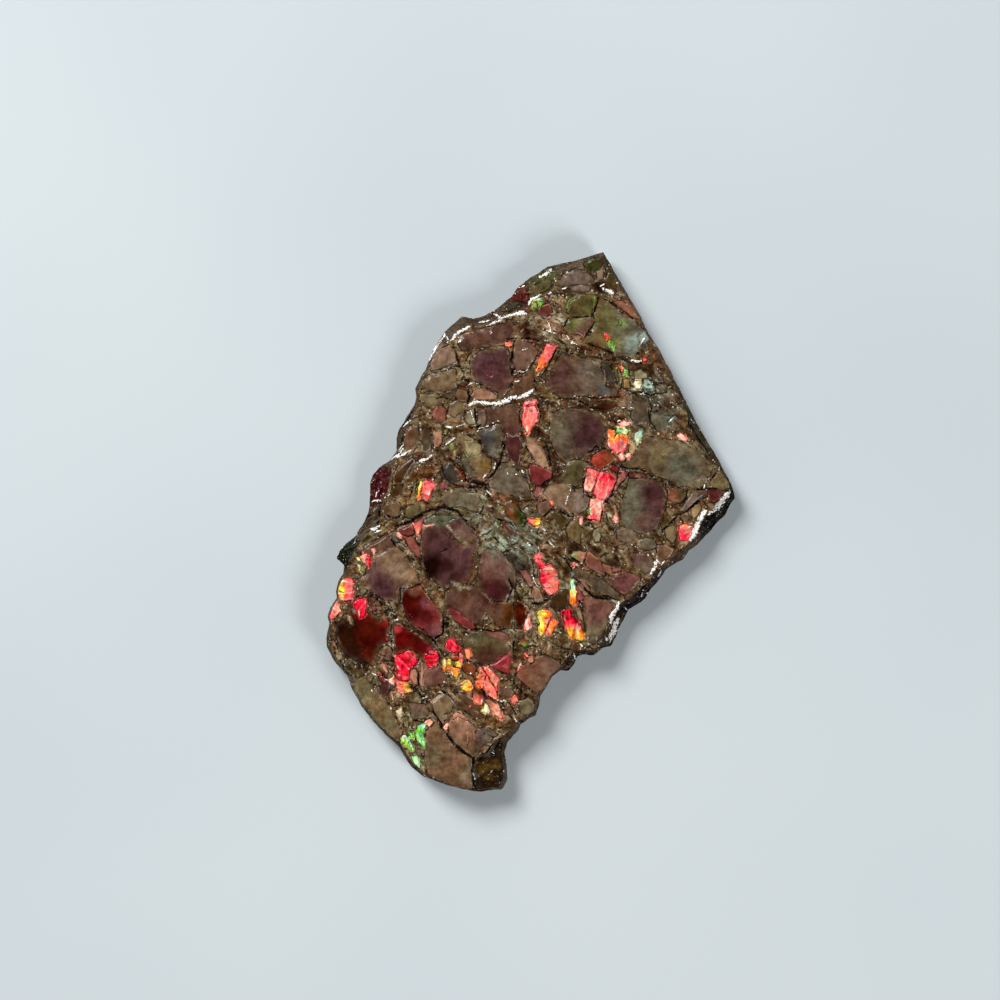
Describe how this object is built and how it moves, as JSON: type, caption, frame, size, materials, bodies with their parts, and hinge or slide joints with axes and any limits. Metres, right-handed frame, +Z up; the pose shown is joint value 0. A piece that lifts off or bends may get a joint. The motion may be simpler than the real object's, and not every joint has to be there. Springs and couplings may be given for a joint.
{
  "type": "ammolite specimen",
  "caption": "Thin irregular fragment of ammolite: a cracked mother-of-pearl mosaic with layered broken edges, lying on a flat shale back.",
  "frame": {"origin": "under the middle of the plan, on the flat shale back that it rests on", "axes": "+Z up out of the pearl face, +Y along the longest extent toward the pointed peak, +X toward the corner of the straight side"},
  "size_m": [0.0288, 0.038, 0.0029],
  "materials": {
    "nacre": "glossy, cracked mother-of-pearl with red, orange, yellow and green flashes over dark shale"
  },
  "bodies": {
    "root": {"ammolite_specimen": "nacre"}
  },
  "joints": []
}
